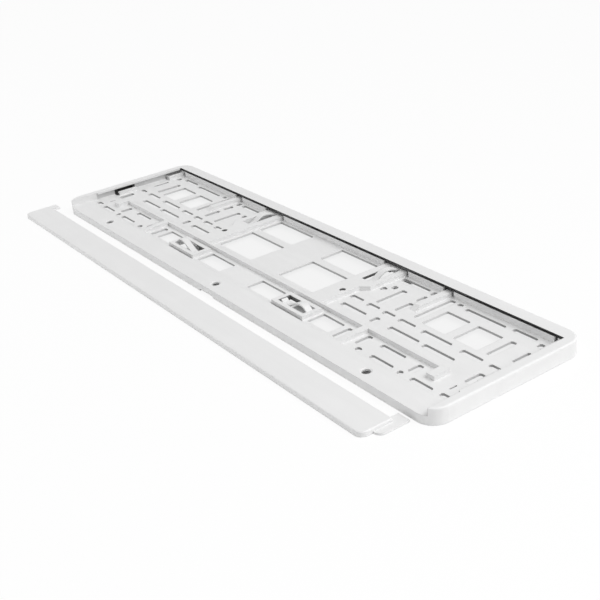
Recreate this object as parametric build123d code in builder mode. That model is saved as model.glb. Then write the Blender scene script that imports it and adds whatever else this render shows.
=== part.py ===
from build123d import *
import os

os.makedirs("parts", exist_ok=True)

# Plate the holder is made for, with the free space left at each end of it
PLATE_LENGTH = 520.0
PLATE_GAP = 0.5

# Base: outside sizes
SIDE_RIM = 6.5
BASE_WIDTH = 138.0
CORNER_ROUND = 14.0
RIM_ROUND = 1.6

# Base: the moulded sheet, its floor above the ground, and the steps up from there: ledge and seat
# above the floor, low wall above the seat, slit for the plate above the seat, lip above the slit
SHEET = 2.0
FLOOR_TOP = 5.0
LEDGE_STEP = 1.7
SEAT_STEP = 3.4
STOP_STEP = 1.6
PLATE_SLIT = 2.0
LIP_THICK = 2.0
BACK_LIP_THICK = 1.2
LIP_EDGE = 0.7

# Base: front ledge and the side lips, measured from the front edge and from the end walls
LEDGE_BACK = 20.7
SIDE_LIP = 1.6
SIDE_LIP_FRONT = 30.0

# Base: back lip, measured from the back edge, and the low wall under it
BACK_LIP_REACH = 12.0
STOP_AHEAD = 0.2
STOP_THICK = 1.6
STOP_GAP = 2.8

# Base: screw holes along the ledge
SCREW_SPACING = 384.0
SCREW_Y = 9.6
SCREW_R = 3.3
SCREW_BEVEL = 1.1
SCREW_BEVEL_DEPTH = 0.6
SCREW_BEVEL_ANGLE = 60.0

# Base: corners of the windows and slots, and the finger notch under the front edge
WINDOW_ROUND = 1.4
SLOT_CUT = 1.2
NOTCH_LENGTH = 20.0
NOTCH_HEIGHT = 1.5

# Base: cross rib, the bars that run forward from it, and the back rests, which carry the plate
RIB_FRONT = 46.0
RIB_BACK = 48.4
BAR_IN = 143.5
BAR_OUT = 149.5
BAR_RAMP_BACK = 35.0
END_BAR_REACH = 37.0
END_BAR_WIDTH = 7.5
END_BAR_FRONT = 34.6
REST_LENGTH = 35.8
REST_RAMP = 5.0

# Base: raised tables of the back springs, ahead of the low wall, with the gap for each spring
TABLE_IN = 73.7
TABLE_OUT = 98.0
TABLE_LENGTH = 35.8
TABLE_SHOULDER = 6.0
TABLE_NECK_OUT = 91.3
TABLE_HOLE_INSET = 5.1
TABLE_HOLE_AHEAD = 12.1
TABLE_HOLE_R = 2.6
TABLE_FRAME_IN = 6.8
TABLE_FRAME_OUT = 5.5
BACK_GAP_LENGTH = 30.8
BACK_LEAF_WIDTH = 6.0

# Base: raised pads of the front springs
PAD_IN = 60.0
PAD_OUT = 100.5
PAD_FRONT = 23.0
PAD_BACK = 41.6
PAD_FRAME = 3.6
FRONT_LEAF_WIDTH = 5.6

# Base: thickness of the leaf springs, how far their ends reach into the sheet, and their top lines,
# given as distance from the start of the gap and height above the table or pad
LEAF_THICK = 1.2
LEAF_ROOT = 0.5
BACK_LEAF = ((7.5, -2.4), (13.5, 1.0), (18.5, 2.7), (24.5, 2.0))
FRONT_LEAF = ((6.9, -3.4), (18.4, 1.6))

# Base: guides beside the end walls, rests in the back corners, and the pocket behind each one
GUIDE_REACH = 7.1
GUIDE_THICK = 3.1
GUIDE_FRONT = 51.0
GUIDE_BACK = 71.0
GUIDE_SKIN = 1.3
CORNER_REST_LENGTH = 17.3

# Strip: outside sizes, with how far it stays back from each end of the base, and the end tongues
STRIP_INSET = 2.0
STRIP_WIDTH = 25.4
STRIP_HEIGHT = 4.0
STRIP_SHEET = 1.6
STRIP_CORNER = 6.0
STRIP_EDGE_ROUND = 1.0
TONGUE_REACH = 6.0
TONGUE_ROOT = 5.0
TONGUE_FRONT = 10.0
TONGUE_BACK = 34.5
TONGUE_THICK = 1.4
TONGUE_ROUND = 5.0

# Lie of the strip in front of the base
STRIP_SHIFT = -20.7
STRIP_GAP = 3.1

# Sizes that follow from the ones above
BAY_HALF = PLATE_LENGTH / 2 + PLATE_GAP
BASE_HALF = BAY_HALF + SIDE_RIM
BASE_LENGTH = 2 * BASE_HALF
LIP_HALF = BAY_HALF - SIDE_LIP
LEDGE_TOP = FLOOR_TOP + LEDGE_STEP
SEAT_TOP = FLOOR_TOP + SEAT_STEP
STOP_TOP = SEAT_TOP + STOP_STEP
LIP_UNDER = SEAT_TOP + PLATE_SLIT
RIM_TOP = LIP_UNDER + LIP_THICK
BACK_LIP_UNDER = RIM_TOP - BACK_LIP_THICK
FLOOR_UNDER = FLOOR_TOP - SHEET
LEDGE_UNDER = LEDGE_TOP - SHEET
SEAT_UNDER = SEAT_TOP - SHEET
RIM_UNDER = RIM_TOP - SHEET
INSIDE_HALF = BASE_HALF - SHEET
INSIDE_BACK = BASE_WIDTH - SHEET
BACK_LIP = BASE_WIDTH - BACK_LIP_REACH
STOP_FRONT = BACK_LIP - STOP_AHEAD
STOP_BACK = STOP_FRONT + STOP_THICK
SCREW_BEVEL_R = SCREW_R + SCREW_BEVEL
END_BAR_IN = BAY_HALF - END_BAR_REACH
END_BAR_OUT = END_BAR_IN + END_BAR_WIDTH
REST_FRONT = STOP_FRONT - REST_LENGTH
TABLE_FRONT = STOP_FRONT - TABLE_LENGTH
TABLE_NECK_BACK = TABLE_FRONT - TABLE_SHOULDER
TABLE_HOLE_U = TABLE_NECK_OUT - TABLE_HOLE_INSET
TABLE_HOLE_Y = TABLE_NECK_BACK - TABLE_HOLE_AHEAD
BACK_GAP_IN = TABLE_IN + TABLE_FRAME_IN
BACK_GAP_OUT = TABLE_OUT - TABLE_FRAME_OUT
BACK_GAP_FRONT = STOP_FRONT - BACK_GAP_LENGTH
GUIDE_IN = BAY_HALF - GUIDE_REACH
GUIDE_OUT = GUIDE_IN + GUIDE_THICK
CORNER_REST_FRONT = STOP_FRONT - CORNER_REST_LENGTH
STRIP_LENGTH = BASE_LENGTH - 2 * STRIP_INSET
STRIP_FRONT = -TONGUE_BACK - STRIP_GAP
STRIP_LEFT = STRIP_SHIFT - STRIP_LENGTH / 2 - TONGUE_REACH

# The origin is the middle of the ground under both pieces as they lie
BASE_X = -(BASE_HALF + STRIP_LEFT) / 2
BASE_Y = -(BASE_WIDTH + STRIP_FRONT) / 2
GROUND = Plane(origin=(BASE_X, BASE_Y, 0))
STRIP_GROUND = Plane(origin=(BASE_X + STRIP_SHIFT, BASE_Y + STRIP_FRONT, 0))

# Windows in the floor on one side of the middle: distance from the middle, then from the front edge
WINDOWS = (
    # big windows beside the middle bar
    (20.3, 70.8, 56.4, STOP_FRONT - 34.5), (20.3, 70.8, STOP_FRONT - 27.1, STOP_FRONT - 3.2),
    # windows of the front zone
    (20.5, 56.5, 25.4, 41.4), (102.8, 128.7, 25.4, 41.4),
    # windows of the outer zone
    (165.0, 189.5, STOP_FRONT - 43.5, STOP_FRONT - 18.1),
    (197.0, 221.5, STOP_FRONT - 43.5, STOP_FRONT - 18.1),
)

# Narrow slots in the floor, given in the same way
SLOTS = (
    # slots behind the ledge
    (160.2, 165.5, 23.9, 28.4), (176.0, 199.0, 23.9, 28.4), (204.8, 209.2, 23.9, 28.4),
    (217.5, 238.0, 23.9, 28.4), (133.8, 139.6, 24.4, 40.9), (153.0, 158.3, 29.9, 43.9),
    (208.0, 213.5, 31.0, 42.4), (170.0, 195.0, 38.4, 42.9),
    # slots in line behind the cross rib
    (98.5, 126.5, 58.8, 63.8), (135.0, 140.0, 57.5, 65.8), (153.5, 185.0, 58.8, 63.8),
    (190.0, 220.5, 58.8, 63.8),
    # second line of slots
    (93.5, 107.5, 71.8, 76.8), (113.5, 126.5, 71.8, 76.8), (132.0, 144.0, 71.8, 76.8),
    (149.5, 166.5, 71.8, 76.8), (174.5, 204.0, 71.8, 76.8), (214.0, 234.0, 71.8, 76.8),
)

# Slots of the back zone: distance from the middle, then how far they begin and end before the low wall
BACK_SLOTS = (
    # upright slots
    (228.5, 234.0, 43.0, 17.6), (153.5, 159.5, 41.5, 3.6), (115.0, 121.0, 45.5, 17.6),
    (135.0, 140.0, 44.0, 28.1), (135.0, 140.0, 23.1, 13.1), (135.0, 140.0, 9.1, 3.2),
    (105.0, 110.0, 22.1, 17.1), (100.0, 105.2, 29.5, 24.0),
    # slots along the low wall
    (100.5, 131.5, 7.6, 3.2), (162.5, 167.5, 7.2, 3.2), (172.5, 212.0, 9.1, 5.1),
    (218.0, 240.0, 7.2, 3.2),
)

# Slots beside the end walls: how far they begin and end before the wall, then distance from the front
END_SLOTS = (
    (15.7, 6.9, 25.2, 29.4), (16.3, 14.9, 35.0, 41.5), (16.5, 10.7, 47.8, 63.2),
    (19.6, 10.1, 72.4, 76.4), (13.1, 9.9, STOP_FRONT - 37.8, STOP_FRONT - 21.2),
    (15.7, 10.7, STOP_FRONT - 12.0, STOP_FRONT - 6.6),
)


def patch(u0, u1, y0, y1, side=1, round_by=0.0):
    """Draws a rectangle between two distances from the middle and two from the front edge."""
    with Locations((side * (u0 + u1) / 2, (y0 + y1) / 2)):
        if round_by:
            RectangleRounded(u1 - u0, y1 - y0, round_by)
        else:
            Rectangle(u1 - u0, y1 - y0)


def slot(u0, u1, y0, y1, side):
    """Draws a slot between the same distances, with its corners cut off."""
    cut = min(SLOT_CUT, (u1 - u0) / 3)
    corners = [
        (u0 + cut, y0), (u1 - cut, y0), (u1, y0 + cut), (u1, y1 - cut),
        (u1 - cut, y1), (u0 + cut, y1), (u0, y1 - cut), (u0, y0 + cut),
    ]
    Polygon(*[(side * u, y) for u, y in corners], align=None)


def side_view(u):
    """Plane of a profile seen from the end of the base, u away from the middle."""
    return Plane(origin=(BASE_X + u, BASE_Y, 0), x_dir=(0, 1, 0), z_dir=(1, 0, 0))


def front_view(y):
    """Plane of a profile seen from the front of the base, y behind the front edge."""
    return Plane(origin=(BASE_X, BASE_Y + y, 0), x_dir=(1, 0, 0), z_dir=(0, -1, 0))


def ribbon(top):
    """Draws a leaf seen from its side: a smooth top line and the same line one thickness lower."""
    with BuildLine() as outline:
        upper = Spline(*top)
        lower = Spline(*[(x, z - LEAF_THICK) for x, z in top])
        Line(upper @ 0, lower @ 0)
        Line(upper @ 1, lower @ 1)
    make_face(outline.edges())


with BuildPart() as base_frame:
    # Outer form with the rounded rim edge
    with BuildSketch(GROUND):
        with Locations((0, BASE_WIDTH / 2)):
            RectangleRounded(BASE_LENGTH, BASE_WIDTH, CORNER_ROUND)
    extrude(amount=RIM_TOP)
    fillet(base_frame.faces().sort_by(Axis.Z)[-1].edges(), RIM_ROUND)

    # Space above the ledge, open to the front, and the mouth between the lips
    with BuildSketch(GROUND.offset(LEDGE_TOP)):
        patch(-BAY_HALF, BAY_HALF, -1, SIDE_LIP_FRONT)
    extrude(amount=RIM_TOP, mode=Mode.SUBTRACT)
    with BuildSketch(GROUND.offset(LEDGE_TOP)):
        patch(-LIP_HALF, LIP_HALF, SIDE_LIP_FRONT - 1, STOP_FRONT)
    extrude(amount=RIM_TOP, mode=Mode.SUBTRACT)
    with BuildSketch(GROUND.offset(STOP_TOP)):
        patch(-LIP_HALF, LIP_HALF, STOP_FRONT - 1, BACK_LIP)
    extrude(amount=RIM_TOP, mode=Mode.SUBTRACT)

    # Bay under the side lips, down to the floor
    with BuildSketch(GROUND.offset(FLOOR_TOP)):
        patch(-BAY_HALF, BAY_HALF, LEDGE_BACK, STOP_FRONT)
    extrude(amount=LIP_UNDER - FLOOR_TOP, mode=Mode.SUBTRACT)

    # Slit over the low wall, where the upper edge of the plate goes in under the back lip
    with BuildSketch(side_view(0)):
        with BuildLine():
            Polyline(
                (STOP_FRONT - 1, STOP_TOP),
                (STOP_FRONT - 1, RIM_TOP - LIP_EDGE),
                (BACK_LIP, RIM_TOP - LIP_EDGE),
                (STOP_BACK, BACK_LIP_UNDER),
                (STOP_BACK, STOP_TOP),
                close=True,
            )
        make_face()
    extrude(amount=BAY_HALF, both=True, mode=Mode.SUBTRACT)

    # Channel behind the low wall, which ends where the outer corners begin
    with BuildSketch(GROUND.offset(FLOOR_TOP)):
        patch(-GUIDE_IN, GUIDE_IN, STOP_BACK, INSIDE_BACK)
    extrude(amount=BACK_LIP_UNDER - FLOOR_TOP, mode=Mode.SUBTRACT)

    # Underside: hollow below the floor, the ledge and the two end rims
    with BuildSketch(GROUND):
        with Locations((0, BASE_WIDTH / 2)):
            RectangleRounded(2 * INSIDE_HALF, BASE_WIDTH - 2 * SHEET, CORNER_ROUND - SHEET)
    extrude(amount=FLOOR_UNDER, mode=Mode.SUBTRACT)
    with BuildSketch(GROUND):
        patch(CORNER_ROUND - BASE_HALF, BASE_HALF - CORNER_ROUND, SHEET, LEDGE_BACK - SHEET)
    extrude(amount=LEDGE_UNDER, mode=Mode.SUBTRACT)
    with BuildSketch(GROUND):
        for side in (-1, 1):
            patch(BAY_HALF + SHEET, INSIDE_HALF, CORNER_ROUND, BASE_WIDTH - CORNER_ROUND, side)
    extrude(amount=RIM_UNDER, mode=Mode.SUBTRACT)

    # Slots and windows of the floor
    with BuildSketch(GROUND):
        for side in (-1, 1):
            for u0, u1, y0, y1 in WINDOWS:
                patch(u0, u1, y0, y1, side, WINDOW_ROUND)
            for u0, u1, y0, y1 in SLOTS:
                slot(u0, u1, y0, y1, side)
            for u0, u1, begin, end in BACK_SLOTS:
                slot(u0, u1, STOP_FRONT - begin, STOP_FRONT - end, side)
            for begin, end, y0, y1 in END_SLOTS:
                slot(BAY_HALF - begin, BAY_HALF - end, y0, y1, side)
    extrude(amount=FLOOR_TOP, mode=Mode.SUBTRACT)

    # Cross rib with its end bars, spring tables and spring pads that carry the plate
    with BuildSketch(GROUND.offset(FLOOR_UNDER)):
        patch(-END_BAR_IN, END_BAR_IN, RIB_FRONT, RIB_BACK)
        for side in (-1, 1):
            patch(END_BAR_IN, END_BAR_OUT, END_BAR_FRONT, RIB_BACK, side)
            patch(PAD_IN, PAD_OUT, PAD_FRONT, PAD_BACK, side)
            patch(TABLE_IN, TABLE_NECK_OUT, RIB_FRONT, STOP_FRONT, side)
            with BuildLine():
                Polyline(
                    (side * TABLE_IN, TABLE_NECK_BACK),
                    (side * TABLE_NECK_OUT, TABLE_NECK_BACK),
                    (side * TABLE_OUT, TABLE_FRONT),
                    (side * TABLE_OUT, STOP_FRONT),
                    (side * TABLE_IN, STOP_FRONT),
                    close=True,
                )
            make_face()
    extrude(amount=SEAT_TOP - FLOOR_UNDER)

    # These are hollow below, so that the sheet keeps its thickness
    with BuildSketch(GROUND):
        for side in (-1, 1):
            patch(END_BAR_IN + SHEET, END_BAR_OUT - SHEET, END_BAR_FRONT + SHEET, RIB_FRONT, side)
            patch(PAD_IN + SHEET, PAD_OUT - SHEET, PAD_FRONT + SHEET, PAD_BACK - SHEET, side)
            patch(TABLE_IN + SHEET, TABLE_NECK_OUT - SHEET, RIB_FRONT + SHEET, STOP_FRONT - SHEET, side)
    extrude(amount=SEAT_UNDER, mode=Mode.SUBTRACT)

    # Bars that run forward from the cross rib and slope down to the ledge, hollow below
    for side in (-1, 1):
        with BuildSketch(side_view(side * (BAR_IN + BAR_OUT) / 2)):
            with BuildLine():
                Polyline(
                    (LEDGE_BACK, FLOOR_UNDER),
                    (LEDGE_BACK, LEDGE_TOP),
                    (BAR_RAMP_BACK, SEAT_TOP),
                    (RIB_BACK, SEAT_TOP),
                    (RIB_BACK, FLOOR_UNDER),
                    close=True,
                )
            make_face()
        extrude(amount=(BAR_OUT - BAR_IN) / 2, both=True)
    with BuildSketch(GROUND):
        for side in (-1, 1):
            patch(BAR_IN + SHEET, BAR_OUT - SHEET, LEDGE_BACK, RIB_FRONT, side)
    extrude(amount=LEDGE_UNDER, mode=Mode.SUBTRACT)

    # Back rests in line with these bars, with a ramp at the front end
    for side in (-1, 1):
        with BuildSketch(side_view(side * (BAR_IN + BAR_OUT) / 2)):
            with BuildLine():
                Polyline(
                    (REST_FRONT, FLOOR_UNDER),
                    (REST_FRONT, FLOOR_TOP),
                    (REST_FRONT + REST_RAMP, SEAT_TOP),
                    (STOP_FRONT, SEAT_TOP),
                    (STOP_FRONT, FLOOR_UNDER),
                    close=True,
                )
            make_face()
        extrude(amount=(BAR_OUT - BAR_IN) / 2, both=True)

    # Guides beside the end walls, open at the front, and the rests in the back corners
    with BuildSketch(GROUND.offset(FLOOR_UNDER)):
        for side in (-1, 1):
            patch(GUIDE_IN, GUIDE_OUT, GUIDE_FRONT, GUIDE_BACK, side)
            patch(GUIDE_IN, BAY_HALF, CORNER_REST_FRONT, STOP_FRONT, side)
    extrude(amount=SEAT_TOP - FLOOR_UNDER)
    with BuildSketch(GROUND):
        for side in (-1, 1):
            patch(GUIDE_IN + GUIDE_SKIN, GUIDE_OUT, GUIDE_FRONT, GUIDE_BACK - GUIDE_SKIN, side)
    extrude(amount=SEAT_TOP - GUIDE_SKIN, mode=Mode.SUBTRACT)

    # Pockets behind them, under the side lips and open below
    with BuildSketch(GROUND):
        for side in (-1, 1):
            for y0, y1 in ((GUIDE_FRONT, GUIDE_BACK), (CORNER_REST_FRONT, STOP_FRONT)):
                patch(GUIDE_OUT, INSIDE_HALF, y0 + GUIDE_SKIN, y1 - GUIDE_SKIN, side)
    extrude(amount=LIP_UNDER, mode=Mode.SUBTRACT)

    # Low wall: open beside each table and rest, and cut down to their tops behind them
    with BuildSketch(GROUND.offset(FLOOR_TOP)):
        for side in (-1, 1):
            for u in (TABLE_IN - STOP_GAP, TABLE_OUT, BAR_IN - STOP_GAP, BAR_OUT, GUIDE_IN - STOP_GAP):
                patch(u, u + STOP_GAP, STOP_FRONT, STOP_BACK, side)
    extrude(amount=STOP_TOP - FLOOR_TOP, mode=Mode.SUBTRACT)
    with BuildSketch(GROUND.offset(SEAT_TOP)):
        for side in (-1, 1):
            patch(TABLE_IN, TABLE_OUT, STOP_FRONT, STOP_BACK, side)
            patch(BAR_IN, BAR_OUT, STOP_FRONT, STOP_BACK, side)
    extrude(amount=STOP_TOP - SEAT_TOP, mode=Mode.SUBTRACT)

    # Openings of the springs and the round holes of the tables
    with BuildSketch(GROUND):
        for side in (-1, 1):
            patch(BACK_GAP_IN, BACK_GAP_OUT, BACK_GAP_FRONT, STOP_FRONT, side)
            patch(PAD_IN + PAD_FRAME, PAD_OUT - PAD_FRAME, PAD_FRONT + PAD_FRAME, PAD_BACK - PAD_FRAME, side)
            with Locations((side * TABLE_HOLE_U, TABLE_HOLE_Y)):
                Circle(TABLE_HOLE_R)
    extrude(amount=SEAT_TOP, mode=Mode.SUBTRACT)

    # Back springs: a leaf that dips behind the table and then swells upward before the low wall
    for side in (-1, 1):
        with BuildSketch(side_view(side * (BACK_GAP_IN + BACK_GAP_OUT) / 2)):
            first = (BACK_GAP_FRONT - LEAF_ROOT, SEAT_TOP)
            wave = [(BACK_GAP_FRONT + along, SEAT_TOP + above) for along, above in BACK_LEAF]
            last = (STOP_FRONT + LEAF_ROOT, SEAT_TOP)
            ribbon([first] + wave + [last])
        extrude(amount=BACK_LEAF_WIDTH / 2, both=True)

    # Front springs: a leaf that dips and then swells upward along the pad
    for side in (-1, 1):
        with BuildSketch(front_view((PAD_FRONT + PAD_BACK) / 2)):
            start = PAD_IN + PAD_FRAME
            first = (side * (start - LEAF_ROOT), SEAT_TOP)
            wave = [(side * (start + along), SEAT_TOP + above) for along, above in FRONT_LEAF]
            last = (side * (PAD_OUT - PAD_FRAME + LEAF_ROOT), SEAT_TOP)
            ribbon([first] + wave + [last])
        extrude(amount=FRONT_LEAF_WIDTH / 2, both=True)

    # Screw holes in the ledge, each with a bevelled mouth
    with BuildSketch(GROUND):
        with Locations((0, SCREW_Y)):
            with GridLocations(SCREW_SPACING / 2, 1, 3, 1):
                Circle(SCREW_R)
    extrude(amount=LEDGE_TOP, mode=Mode.SUBTRACT)
    with BuildSketch(GROUND.offset(LEDGE_TOP)):
        with Locations((0, SCREW_Y)):
            with GridLocations(SCREW_SPACING / 2, 1, 3, 1):
                Circle(SCREW_BEVEL_R)
    extrude(amount=-SCREW_BEVEL_DEPTH, taper=SCREW_BEVEL_ANGLE, mode=Mode.SUBTRACT)

    # Finger notch under the middle of the front edge
    with BuildSketch(GROUND):
        patch(-NOTCH_LENGTH / 2, NOTCH_LENGTH / 2, -1, SHEET + 1)
    extrude(amount=NOTCH_HEIGHT, mode=Mode.SUBTRACT)

base_frame.part.label = "base_frame"
export_step(base_frame.part, "parts/base_frame.step")


with BuildPart() as clip_strip:
    # Long cap with two rounded front corners and a rounded front edge
    with BuildSketch(STRIP_GROUND):
        patch(-STRIP_LENGTH / 2, STRIP_LENGTH / 2, 0, STRIP_WIDTH)
        fillet(vertices().group_by(Axis.Y)[0], STRIP_CORNER)
    extrude(amount=STRIP_HEIGHT)
    fillet(clip_strip.faces().sort_by(Axis.Z)[-1].edges().group_by(Axis.Y)[0], STRIP_EDGE_ROUND)

    # Hollow underside
    with BuildSketch(STRIP_GROUND):
        half = STRIP_LENGTH / 2 - STRIP_SHEET
        patch(-half, half, STRIP_SHEET, STRIP_WIDTH - STRIP_SHEET)
        fillet(vertices().group_by(Axis.Y)[0], STRIP_CORNER - STRIP_SHEET)
    extrude(amount=STRIP_HEIGHT - STRIP_SHEET, mode=Mode.SUBTRACT)

    # Tongues that go in behind the end rims of the base
    with BuildSketch(STRIP_GROUND):
        for side in (-1, 1):
            root = STRIP_LENGTH / 2 - TONGUE_ROOT
            tip = STRIP_LENGTH / 2 + TONGUE_REACH
            patch(root, tip, TONGUE_FRONT, TONGUE_BACK, side)
        corners = vertices().group_by(Axis.Y)[0].sort_by(Axis.X)
        fillet([corners[0], corners[-1]], TONGUE_ROUND)
    extrude(amount=TONGUE_THICK)

clip_strip.part.label = "clip_strip"
export_step(clip_strip.part, "parts/clip_strip.step")
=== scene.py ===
# %% [markdown]
# # A number plate holder in white plastic
#
# The object is a long shallow tray that a car's number plate is laid into, and a narrow strip that
# clips along its open front. Both are injection mouldings in the same white plastic. Here the strip
# is taken off and lies in front of the tray.
#
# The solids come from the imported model, in metres, at their real size. They already hold every
# wall, slot, window and spring, so this lesson is about what is left: the finish of the plastic,
# the ground, the light and the camera.

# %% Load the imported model
import math

import bpy
from mathutils import Matrix, Vector


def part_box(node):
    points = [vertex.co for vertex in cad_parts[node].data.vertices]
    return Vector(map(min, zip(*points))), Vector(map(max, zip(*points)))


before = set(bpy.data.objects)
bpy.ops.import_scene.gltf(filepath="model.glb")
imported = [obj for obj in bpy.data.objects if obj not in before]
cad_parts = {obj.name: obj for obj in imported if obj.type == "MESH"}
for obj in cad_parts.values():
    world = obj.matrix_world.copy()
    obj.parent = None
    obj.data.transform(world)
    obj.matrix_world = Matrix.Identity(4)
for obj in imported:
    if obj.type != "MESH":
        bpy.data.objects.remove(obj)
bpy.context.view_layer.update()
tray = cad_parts["base_frame"]
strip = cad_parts["clip_strip"]
for piece in (tray, strip):
    low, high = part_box(piece.name)
    size = [round((b - a) * 1000, 1) for a, b in zip(low, high)]
    print(piece.name, "mm:", size, "triangles:", len(piece.data.polygons))

# %% [markdown]
# ## Colours as they are written
#
# A colour picked from a chart is an sRGB hex value, while a shader works with linear light. One
# function does that change, so that each finish below can give its colour in the usual way.


# %% A colour from its hex value
def colour(hex_value):
    """Linear RGBA of an sRGB hex value."""
    parts = [int(hex_value[i:i + 2], 16) / 255 for i in (1, 3, 5)]
    linear = [c / 12.92 if c <= 0.04045 else ((c + 0.055) / 1.055) ** 2.4 for c in parts]
    return (*linear, 1.0)


MOULDED_WHITE = "#f0f0f0"
print("moulded white:", [round(c, 3) for c in colour(MOULDED_WHITE)])

# %% [markdown]
# ## One helper for every node
#
# A material is a tree of nodes. Each node needs its kind, a few settings, values on some of its
# sockets and links to others. One small function does all of that, so that a recipe below reads
# from top to bottom: a socket that is given another node's output is linked, and one that is given
# a number or a colour gets that value.


# %% The node helper
def add(tree, kind, sockets=None, **settings):
    """Adds a node with its settings, and sets or links each named or numbered socket."""
    node = tree.nodes.new(kind)
    for name, value in settings.items():
        setattr(node, name, value)
    for name, value in (sockets or {}).items():
        if isinstance(value, bpy.types.NodeSocket):
            tree.links.new(value, node.inputs[name])
        else:
            node.inputs[name].default_value = value
    return node


def empty_material(name):
    """A material with an output and nothing else."""
    material = bpy.data.materials.new(name)
    material.use_nodes = True
    material.node_tree.nodes.clear()
    output = add(material.node_tree, "ShaderNodeOutputMaterial")
    return material, material.node_tree, output.inputs["Surface"]


MM = 0.001


def blotch(size_mm):
    """Noise scale whose blotches are about this many millimetres across."""
    return 1 / (size_mm * MM)


print("blotches of one millimetre need scale", round(blotch(1.0)))

# %% [markdown]
# ## Soft boxes
#
# Some places are set apart by where they are: the depth of a slit, or the ground under a spring. A
# box with soft borders picks them out. Its sides are given in millimetres on the tray: from its
# middle, from its front edge and from the ground. The tray is the same to the left and to the right
# of its middle, so one helper gives a box for each side.

# %% A box on the tray and a mask around it
low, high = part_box("base_frame")
TRAY_ZERO = ((low[0] + high[0]) / 2, low[1], low[2])


def tray_box(*sides):
    """The sides of a box in metres, from two distances in mm for each of X, Y and perhaps Z."""
    return [(axis, zero + near * MM, zero + far * MM)
            for axis, zero, (near, far) in zip("XYZ", TRAY_ZERO, sides)]


def both_sides(across, *others):
    """The same box to the right and to the left of the tray's middle."""
    near, far = across
    return [tray_box((near, far), *others), tray_box((-far, -near), *others)]


def outside(tree, spot, box, soft_mm):
    """0 in a box, 1 around it, with a soft border inside the box."""
    value = add(tree, "ShaderNodeSeparateXYZ", {0: spot})
    result = 0.0
    for axis, near, far in box:
        middle, half = (near + far) / 2, (far - near) / 2
        away = add(tree, "ShaderNodeMath", {0: value.outputs[axis], 1: middle},
                   operation="SUBTRACT")
        away = add(tree, "ShaderNodeMath", {0: away.outputs[0]}, operation="ABSOLUTE")
        way = add(tree, "ShaderNodeMapRange",
                  {"Value": away.outputs[0], "From Min": half - soft_mm * MM, "From Max": half},
                  interpolation_type="SMOOTHSTEP")
        result = add(tree, "ShaderNodeMath", {0: way.outputs[0], 1: result},
                     operation="MAXIMUM").outputs[0]
    return result


print("tray starts at", [round(v, 4) for v in TRAY_ZERO])

# %% [markdown]
# ## The plastic
#
# Both pieces are taken as ABS, a tough plastic that moulds well and takes white pigment well. They
# come out of a steel mould, and what the eye reads on them comes from that: faint streaks, soft
# edges, a dull grain and uneven gloss. A flat white would show none of this. An image could, but it
# would need an unwrapped mesh and would blur close up. Patterns worked out from the object's own
# coordinates have neither trouble, so they are used here, each with its real size in millimetres.
# The next cells make the recipe one part at a time.
#
# ### Pigment
#
# The plastic ran in from the middle and froze on its way outwards, which leaves very faint streaks
# along the length. A noise that is drawn out along the tray gives them, and a second, broad one
# breaks them up.

# %% Pigment with faint streaks
STREAK_MM, STREAK_STRETCH = 6.0, 10
CLOUD_MM = 38.0
# Where the product of the two noises mostly lies
TONE_LOW, TONE_HIGH = 0.12, 0.40


def streaked_white(tree, place, white, shade):
    """White pigment that leans to its darker shade in faint streaks."""
    along = add(tree, "ShaderNodeMapping",
                {"Vector": place, "Scale": (1 / STREAK_STRETCH, 1.0, 1.0)})
    streaks = add(tree, "ShaderNodeTexNoise",
                  {"Vector": along.outputs[0], "Scale": blotch(STREAK_MM), "Detail": 3.0})
    clouds = add(tree, "ShaderNodeTexNoise",
                 {"Vector": place, "Scale": blotch(CLOUD_MM), "Detail": 2.0})
    both = add(tree, "ShaderNodeMath", {0: streaks.outputs[0], 1: clouds.outputs[0]},
               operation="MULTIPLY")
    tone = add(tree, "ShaderNodeMapRange",
               {"Value": both.outputs[0], "From Min": TONE_LOW, "From Max": TONE_HIGH})
    mixed = add(tree, "ShaderNodeMix",
                {0: tone.outputs[0], 6: colour(shade), 7: colour(white)}, data_type="RGBA")
    return mixed.outputs[2]


print("streaks", STREAK_MM, "mm wide, clouds", CLOUD_MM, "mm")

# %% [markdown]
# ### Painted shade in the depths
#
# Slots, slits and hollows get painted shade: their colour is darkened, because the even light of the
# studio washes out their deep shade. Ambient occlusion finds the narrow corners by itself. The
# places that have to be darker than that are named with soft boxes. These lie on the object, so they
# stay where they are from every side.

# %% Places of the tray with painted shade
# Side walls of the slots and windows in the floor, which get painted shade
SLOT_WALLS, SLOT_SOFT_MM = tray_box((-259, 259), (21, 125.6), (3.05, 4.95)), 0.4
# Heights in mm of the hollows by the springs, of the end walls and of the pockets in these
HOLLOW, END_WALL, POCKET = (2.8, 8.1), (5.1, 11.5), (1, 10.6)
# Each place of painted shade has a box, a soft border in mm and the share left unshaded
PAINTED_SHADE_PLACES = [
    # slit between the low wall and the back lip, where the plate's upper edge goes in, all painted
    # shade
    (tray_box((-259, 259), (125.6, 136), (9.85, 12.35)), 0.2, 0.0),
]
for across, along, height, soft_mm, share in (
    # hollows under the low ends of the front springs
    ((61.4, 64.4), (26, 40), HOLLOW, 0.3, 0.3),
    ((62, 78), (37.6, 40), HOLLOW, 0.3, 0.1),
    # hollows beside the back springs
    ((74.6, 80.8), (94, 125), HOLLOW, 0.3, 0.1),
    # round holes of the tables
    ((83, 89.4), (68.7, 75.1), HOLLOW, 0.3, 0.2),
    # end walls under the side lips
    ((259, 262), (29, 127), END_WALL, 1.0, 0.68),
    # pockets behind the guides and behind the corner rests
    ((256.4, 265.6), (49, 72), POCKET, 0.3, 0.0),
    ((256.4, 265.6), (107, 127), POCKET, 0.3, 0.75),
):
    PAINTED_SHADE_PLACES += [(box, soft_mm, share) for box in both_sides(across, along, height)]
# Count of the places with painted shade
print(len(PAINTED_SHADE_PLACES), "dusty places")

# %% The share left unshaded
SKY_REACH_MM, SKY_RAYS = 7, 32
SKY_SHUT, SKY_OPEN = 0.02, 0.32
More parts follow.
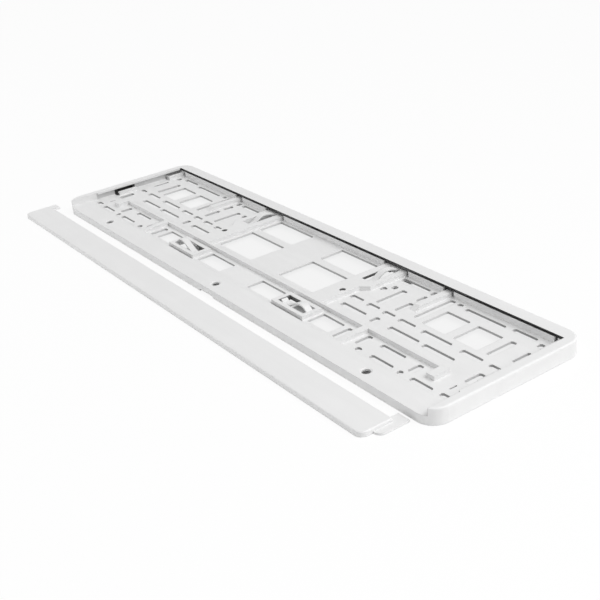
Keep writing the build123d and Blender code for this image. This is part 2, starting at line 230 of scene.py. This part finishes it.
# Slot walls that look to the front get more painted shade than those that look aside
LOOKS_ASIDE, LOOKS_AHEAD = 0.3, 0.9
UNSHADED_ASIDE, UNSHADED_AHEAD = 0.85, 0.48


def open_to_sky(tree):
    """1 where a spot sees enough open sky within a few millimetres, 0 in a narrow corner."""
    sky = add(tree, "ShaderNodeAmbientOcclusion", {"Distance": SKY_REACH_MM * MM},
              samples=SKY_RAYS)
    share = add(tree, "ShaderNodeMapRange",
                {"Value": sky.outputs["AO"], "From Min": SKY_SHUT, "From Max": SKY_OPEN})
    return share.outputs[0]


def paint_shade_in_depths(tree, place, facing, unshaded):
    """What is left of the unshaded share after painted shade on the tray's slot walls and its shaded
    places.
    """
    ahead = add(tree, "ShaderNodeVectorMath", {0: facing, 1: (0, -1, 0)}, operation="DOT_PRODUCT")
    unshaded_by_facing = add(tree, "ShaderNodeMapRange",
                 {"Value": ahead.outputs["Value"], "From Min": LOOKS_ASIDE,
                  "From Max": LOOKS_AHEAD, "To Min": UNSHADED_ASIDE, "To Max": UNSHADED_AHEAD})
    for box, soft_mm, share in [(SLOT_WALLS, SLOT_SOFT_MM, unshaded_by_facing.outputs[0])] + PAINTED_SHADE_PLACES:
        kept = add(tree, "ShaderNodeMapRange",
                   {"Value": outside(tree, place, box, soft_mm), "To Min": share})
        unshaded = add(tree, "ShaderNodeMath", {0: unshaded, 1: kept.outputs[0]},
                    operation="MULTIPLY").outputs[0]
    return unshaded


# How far from a corner the painted shade reaches
print("dust settles within", SKY_REACH_MM, "mm of a corner")

# %% [markdown]
# ### Edges, sink marks and grain
#
# Every edge of a moulding is slightly round. Thick places shrink more than thin ones, so flat faces
# are never quite flat. The mould's faces were spark eroded, which leaves a fine dull grain. Real
# bevels and a real grain would take millions of faces, so the shader bends the normals instead.
#
# The real grain is about 0.1 mm, far finer than one pixel of this picture. It is drawn at about a
# millimetre, as coarse as it needs to be to show as a dull surface and not as flicker.

# %% Edges, sink marks and grain
EDGE_ROUND_MM, EDGE_RAYS = 0.6, 6
SINK_MM, SINK_DEPTH_MM = 26.0, 0.12


def moulded_form(tree, place, grain_mm, grain_depth_mm):
    """Normals with the round edges alone, and with sink marks and grain as well."""
    edges = add(tree, "ShaderNodeBevel", {"Radius": EDGE_ROUND_MM * MM}, samples=EDGE_RAYS)
    sinks = add(tree, "ShaderNodeTexNoise",
                {"Vector": place, "Scale": blotch(SINK_MM), "Detail": 1.0})
    wavy = add(tree, "ShaderNodeBump",
               {"Height": sinks.outputs[0], "Distance": SINK_DEPTH_MM * MM,
                "Normal": edges.outputs[0]})
    grain = add(tree, "ShaderNodeTexNoise",
                {"Vector": place, "Scale": blotch(grain_mm), "Detail": 2.0})
    skin = add(tree, "ShaderNodeBump",
               {"Height": grain.outputs[0], "Distance": grain_depth_mm * MM,
                "Normal": wavy.outputs[0]})
    return edges.outputs[0], skin.outputs[0]


print("edges rounded by", EDGE_ROUND_MM, "mm, sink marks", SINK_MM, "mm wide")

# %% [markdown]
# ### Gloss
#
# The dull skin is a little uneven, and an edge that hands and plates rub is smoother. So the
# roughness varies by a few hundredths in patches, and it is lower where the rounded normal turns
# away from the flat one, which happens only along edges.

# %% Uneven gloss
PATCH_MM, UNEVEN = 9.0, 0.06
PATCH_LOW, PATCH_HIGH = 0.3, 0.7
# Cosine between the two normals at an edge and on a face, and the roughness left at an edge
AT_EDGE, ON_FACE = 0.75, 0.98
RUBBED_SHARE = 0.7


def uneven_gloss(tree, place, facing, edges, roughness):
    """Roughness in faint patches, lower along the edges."""
    patches = add(tree, "ShaderNodeTexNoise",
                  {"Vector": place, "Scale": blotch(PATCH_MM), "Detail": 2.0})
    dull = add(tree, "ShaderNodeMapRange",
               {"Value": patches.outputs[0], "From Min": PATCH_LOW, "From Max": PATCH_HIGH,
                "To Min": roughness - UNEVEN, "To Max": roughness + UNEVEN})
    flat = add(tree, "ShaderNodeVectorMath", {0: edges, 1: facing}, operation="DOT_PRODUCT")
    rubbed = add(tree, "ShaderNodeMapRange",
                 {"Value": flat.outputs["Value"], "From Min": AT_EDGE, "From Max": ON_FACE,
                  "To Min": RUBBED_SHARE, "To Max": 1.0})
    gloss = add(tree, "ShaderNodeMath", {0: dull.outputs[0], 1: rubbed.outputs[0]},
                operation="MULTIPLY")
    return gloss.outputs[0]


print("gloss patches", PATCH_MM, "mm wide")

# %% [markdown]
# ### The whole recipe
#
# One recipe serves both pieces. The strip gets a finer and smoother grain, as from a polished
# mould. It has no slots and lies outside all the places of painted shade, so these are left out of
# it.

# %% A white moulding
# How strongly ABS bends light
ABS_IOR = 1.53


def moulded_abs(name, white, shade, painted_shade, grain_mm, grain_depth_mm, roughness, slotted):
    """White injection-moulded ABS: dull grain, faint flow streaks, soft edges and painted shade in
    the depths.
    """
    material, tree, surface = empty_material(name)
    place = add(tree, "ShaderNodeTexCoord").outputs["Object"]
    facing = add(tree, "ShaderNodeNewGeometry").outputs["Normal"]
    unshaded = open_to_sky(tree)
    if slotted:
        unshaded = paint_shade_in_depths(tree, place, facing, unshaded)
    # Painted shade: the shade colour fills narrow corners and the named places
    pigment_and_shade = add(tree, "ShaderNodeMix",
                {0: unshaded, 6: colour(painted_shade), 7: streaked_white(tree, place, white, shade)},
                data_type="RGBA")
    edges, skin = moulded_form(tree, place, grain_mm, grain_depth_mm)
    shader = add(tree, "ShaderNodeBsdfPrincipled",
                 {"Base Color": pigment_and_shade.outputs[2],
                  "Roughness": uneven_gloss(tree, place, facing, edges, roughness),
                  "IOR": ABS_IOR, "Normal": skin})
    tree.links.new(shader.outputs[0], surface)
    print(name, "has", len(tree.nodes), "nodes")
    return material


print("ABS bends light by", ABS_IOR)

# %% Dress the two pieces
# Spark-eroded ABS: dull, no clear reflections, with dark painted shade in the hollows
tray_white = moulded_abs(
    "white_abs_spark_eroded", MOULDED_WHITE, shade="#ececec", painted_shade="#262626",
    grain_mm=1.1, grain_depth_mm=0.007, roughness=0.48, slotted=True)
# Polished-mould ABS: the same pigment with a finer grain and a soft sheen, and a lighter painted
# shade in its corners
strip_white = moulded_abs(
    "white_abs_fine_grain", MOULDED_WHITE, shade="#ededed", painted_shade="#6a6a6a",
    grain_mm=0.9, grain_depth_mm=0.005, roughness=0.40, slotted=False)

for piece, finish in ((tray, tray_white), (strip, strip_white)):
    piece.data.materials.clear()
    piece.data.materials.append(finish)
    print(piece.name, "wears", finish.name)

# %% [markdown]
# ## The ground
#
# A white object on white paper is the hardest thing to light: the paper has to stay white in the
# picture, and yet the object has to stand out from it. In a studio the paper around such an object
# is lit by lamps of its own, so that it shines back at the low walls from below, and only the patch
# under the tray gets no such light. A soft mask over the tray's own ground does the same here.
#
# What the camera and mirror-like rays see of the paper is lifted most of the way to plain white, or
# to a pale grey under the tray. The rest is the real paper, so the object's soft shadow stays. The
# lift is nearly left out under the ledge, the springs and the pockets of the end walls, where hardly
# any light gets in.


# %% Rays that show the background
def seen_rays(tree):
    """1 for rays from the camera and for mirror-like rays, 0 for all others."""
    rays = add(tree, "ShaderNodeLightPath")
    sharp = add(tree, "ShaderNodeMath",
                {0: rays.outputs["Is Glossy Ray"], 1: rays.outputs["Is Transmission Ray"]},
                operation="MAXIMUM")
    seen = add(tree, "ShaderNodeMath", {0: rays.outputs["Is Camera Ray"], 1: sharp.outputs[0]},
               operation="MAXIMUM")
    return seen.outputs[0]


print("the background shows to the camera, to mirrors and to glass")

# %% Ground that little light reaches
SHADED = [
    # under the ledge with its screw holes
    tray_box((-215, 215), (4, 24)),
]
for across, along in (
    # under the front springs and the back springs
    ((66, 97), (27, 50)), ((80, 106), (104, 134)),
    # under the pockets of the end walls
    ((250, 266), (46, 78)), ((250, 266), (104, 130)),
):
    SHADED += both_sides(across, along)
print(len(SHADED), "shaded places under the tray")

# %% Pale paper
TRAY_GROUND, GROUND_SOFT_MM = tray_box((-267, 267), (0, 138)), 12
SHADED_SOFT_MM = 4
PAPER_SHINE = 0.04
# How white the lifted paper is under the tray, and the share of the lift in shade and in the open
WHITE_UNDER_TRAY = 0.91
LIFT_IN_SHADE, LIFT_IN_OPEN = 0.03, 0.9

paper, tree, surface = empty_material("pale_paper_floor")
spot = add(tree, "ShaderNodeTexCoord").outputs["Object"]
open_paper = outside(tree, spot, TRAY_GROUND, GROUND_SOFT_MM)
reached = 1.0
for box in SHADED:
    reached = add(tree, "ShaderNodeMath",
                  {0: outside(tree, spot, box, SHADED_SOFT_MM), 1: reached},
                  operation="MULTIPLY").outputs[0]

# The real paper, with a little light of its own around the tray
shine = add(tree, "ShaderNodeMath", {0: open_paper, 1: PAPER_SHINE}, operation="MULTIPLY")
glow = add(tree, "ShaderNodeEmission", {"Strength": shine.outputs[0]})
sheet = add(tree, "ShaderNodeBsdfDiffuse", {"Color": colour("#f9f9f9")})
lit = add(tree, "ShaderNodeAddShader", {0: sheet.outputs[0], 1: glow.outputs[0]})

# The lift towards white for what is seen, with a paler grey under the tray as its painted shadow
pale = add(tree, "ShaderNodeMapRange",
           {"Value": open_paper, "To Min": WHITE_UNDER_TRAY, "To Max": 1.0})
white = add(tree, "ShaderNodeEmission", {"Strength": pale.outputs[0]})
share = add(tree, "ShaderNodeMapRange",
            {"Value": reached, "To Min": LIFT_IN_SHADE, "To Max": LIFT_IN_OPEN})
lift = add(tree, "ShaderNodeMath", {0: seen_rays(tree), 1: share.outputs[0]},
           operation="MULTIPLY")
shown = add(tree, "ShaderNodeMixShader",
            {0: lift.outputs[0], 1: lit.outputs[0], 2: white.outputs[0]})
tree.links.new(shown.outputs[0], surface)
print(paper.name, "has", len(tree.nodes), "nodes")

# %% Floor
FLOOR_HALF = 5.0
FLOOR_DROP_MM = 0.2
mesh = bpy.data.meshes.new("floor")
corners = [(-FLOOR_HALF, -FLOOR_HALF), (FLOOR_HALF, -FLOOR_HALF),
           (FLOOR_HALF, FLOOR_HALF), (-FLOOR_HALF, FLOOR_HALF)]
mesh.from_pydata([(x, y, -FLOOR_DROP_MM * MM) for x, y in corners], [], [(0, 1, 2, 3)])
mesh.materials.append(paper)
floor = bpy.data.objects.new("floor", mesh)
bpy.context.scene.collection.objects.link(floor)
print("floor", 2 * FLOOR_HALF, "m wide")

# %% [markdown]
# ## The light
#
# The outer side on the right is the brightest face, the tops come next, and the faces that look to
# the front are clearly darker. Walls and ribs throw a short soft shade forward. That is a wide high
# lamp behind the object on the right, under an even sky. A panel stands near the right end, so that
# this end is lighter than the far one, and a second panel far out on the front left keeps the fronts
# from going too dark. Where the camera looks past the floor, the world is white.

# %% World
SKY_LIGHT, SKY_SEEN = 0.26, 1.0
world = bpy.data.worlds.new("studio")
bpy.context.scene.world = world
world.use_nodes = True
tree = world.node_tree
tree.nodes.clear()
level = add(tree, "ShaderNodeMapRange",
            {"Value": seen_rays(tree), "To Min": SKY_LIGHT, "To Max": SKY_SEEN})
sky = add(tree, "ShaderNodeBackground",
          {"Color": colour("#ffffff"), "Strength": level.outputs[0]})
add(tree, "ShaderNodeOutputWorld", {"Surface": sky.outputs[0]})
print("sky lights the object at", SKY_LIGHT)


# %% Lamps
def lamp(name, kind, place, strength, **settings):
    """A lamp of one kind that shines from a place towards the middle of the object."""
    light = bpy.data.lights.new(name, kind)
    light.energy = strength
    for key, value in settings.items():
        setattr(light, key, value)
    made = bpy.data.objects.new(name, light)
    bpy.context.scene.collection.objects.link(made)
    made.location = place
    made.rotation_euler = (-Vector(place)).to_track_quat("-Z", "Y").to_euler()
    print(name, "shines from", place)


SUN_WIDTH = math.radians(50)
PANEL_SIZE = 0.8
# Strength is in watts per square metre for the sun and in watts for a panel
lamp("high_key", "SUN", (0.85, 1.10, 2.0), 1.50, angle=SUN_WIDTH)
lamp("near_panel", "AREA", (0.85, 0.10, 0.7), 3.4, size=PANEL_SIZE)
lamp("left_fill", "AREA", (-0.9, -1.2, 0.5), 6.0, size=PANEL_SIZE)

# %% [markdown]
# ## The camera
#
# The camera stands to the right of the front, looks down by about 26 degrees and is less than a
# metre away, so the near end looks clearly larger than the far one. Its place and turn were worked
# out from the edges that run away from it, and are given as the three directions of its own axes.

# %% Camera
RIGHT = Vector((0.58067733, 0.80915387, -0.08991025))
UP = Vector((-0.31465675, 0.32490969, 0.89186592))
BACK = Vector((0.75086948, -0.48959545, 0.44327342))
CAMERA_PLACE = (0.67942, -0.39680, 0.35667)
SENSOR_MM, LENS_MM = 36.0, 62.097
optics = bpy.data.cameras.new("camera")
optics.sensor_width = SENSOR_MM
optics.lens = LENS_MM
camera = bpy.data.objects.new("camera", optics)
bpy.context.scene.collection.objects.link(camera)
turn = Matrix((RIGHT, UP, BACK)).transposed().to_4x4()
camera.matrix_world = Matrix.Translation(CAMERA_PLACE) @ turn
bpy.context.scene.camera = camera
bpy.context.scene.view_settings.view_transform = "Standard"
print("camera", [round(x, 3) for x in camera.location])
